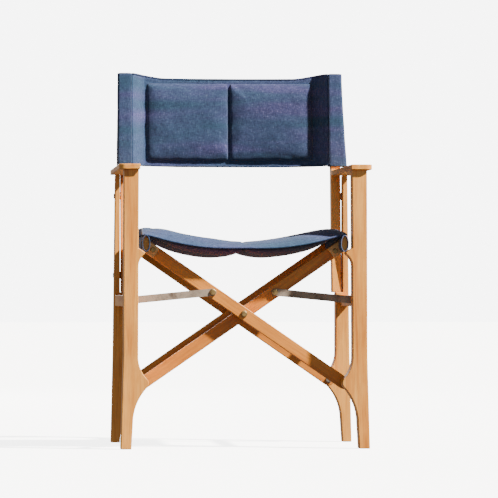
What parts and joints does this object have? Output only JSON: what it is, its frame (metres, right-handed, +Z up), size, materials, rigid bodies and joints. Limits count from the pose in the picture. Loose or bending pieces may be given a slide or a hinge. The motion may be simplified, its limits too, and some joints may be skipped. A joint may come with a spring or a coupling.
{
  "type": "folding chair",
  "caption": "Folding wooden director's chair with crossed legs, padded fabric seat and sleeved fabric back; both side frames close together.",
  "frame": {"origin": "on the floor at the centre of the bounding box of the open chair", "axes": "+Z up, the chair faces -Y, +X to the right of someone who looks at its front"},
  "size_m": [0.582, 0.5167, 0.887],
  "materials": {
    "oiled_wood": "oiled satin",
    "wood_block": "oiled satin",
    "wood_plug": "oiled end grain",
    "brass_hardware": "dull, aged",
    "steel_hardware": "dull, aged",
    "grey_bar": "weathered matt",
    "blue_canvas": "melange weave"
  },
  "bodies": {
    "left_frame": {"front_leg_left": "oiled_wood", "rear_leg_left": "oiled_wood", "back_post_left": "oiled_wood", "armrest_left": "oiled_wood", "armrest_plugs_left": "wood_plug", "side_stretcher_left": "oiled_wood", "back_post_bolts_left": "steel_hardware", "back_post_spacers_left": "steel_hardware", "lower_pivot_bolts_left": "steel_hardware", "link_post_screw_left": "steel_hardware", "back_sleeve_left": "blue_canvas", "pivot_spacers_left": "steel_hardware", "back_panel": "blue_canvas"},
    "right_rail_legs": {"cross_leg_right_rail_front": "oiled_wood", "cross_leg_right_rail_rear": "oiled_wood", "rail_block_right_front": "wood_block", "rail_block_right_rear": "wood_block", "rail_block_bolts_right": "brass_hardware", "seat_rail_right": "oiled_wood", "seat_sleeve_right": "blue_canvas", "centre_bolts": "brass_hardware", "centre_nuts": "brass_hardware", "centre_washers": "steel_hardware", "seat_pad": "blue_canvas"},
    "left_rail_legs": {"cross_leg_left_rail_front": "oiled_wood", "cross_leg_left_rail_rear": "oiled_wood", "rail_block_left_front": "wood_block", "rail_block_left_rear": "wood_block", "rail_block_bolts_left": "brass_hardware", "seat_rail_left": "oiled_wood", "seat_sleeve_left": "blue_canvas"},
    "right_frame": {"front_leg_right": "oiled_wood", "rear_leg_right": "oiled_wood", "back_post_right": "oiled_wood", "armrest_right": "oiled_wood", "armrest_plugs_right": "wood_plug", "side_stretcher_right": "oiled_wood", "back_post_bolts_right": "steel_hardware", "back_post_spacers_right": "steel_hardware", "lower_pivot_bolts_right": "steel_hardware", "link_post_screw_right": "steel_hardware", "back_sleeve_right": "blue_canvas", "pivot_washers_right": "steel_hardware"},
    "left_link": {"fold_link_left": "grey_bar", "link_rivet_left": "steel_hardware"},
    "right_link": {"fold_link_right": "grey_bar", "link_rivet_right": "steel_hardware"}
  },
  "joints": [
    {"name": "fold", "type": "hinge", "parent": "left_frame", "child": "right_rail_legs", "pos_m": [-0.231, -0.02772, 0.1496], "axis": [0, -1, 0], "range_deg": [0, 50], "deforming": ["back_panel"]},
    {"name": "centre_pivot", "type": "hinge", "parent": "right_rail_legs", "child": "left_rail_legs", "pos_m": [0, -0.02772, 0.309], "axis": [0, 1, 0], "range_deg": [0, 100], "deforming": ["seat_pad"]},
    {"name": "right_frame_pivot", "type": "hinge", "parent": "left_rail_legs", "child": "right_frame", "pos_m": [0.231, -0.02772, 0.1496], "axis": [0, -1, 0], "range_deg": [0, 50]},
    {"name": "left_link_pivot", "type": "hinge", "parent": "left_frame", "child": "left_link", "pos_m": [-0.251, -0.20372, 0.34127], "axis": [0, -1, 0], "range_deg": [0, 72.08]},
    {"name": "right_link_pivot", "type": "hinge", "parent": "right_frame", "child": "right_link", "pos_m": [0.251, -0.20372, 0.34127], "axis": [0, 1, 0], "range_deg": [0, 72.08]}
  ],
  "couplings": [
    {"joint": "centre_pivot", "follows": "fold", "ratio": 2},
    {"joint": "right_frame_pivot", "follows": "fold", "ratio": 1},
    {"joint": "left_link_pivot", "follows": "fold", "ratio": 1.4415},
    {"joint": "right_link_pivot", "follows": "fold", "ratio": 1.4415}
  ]
}
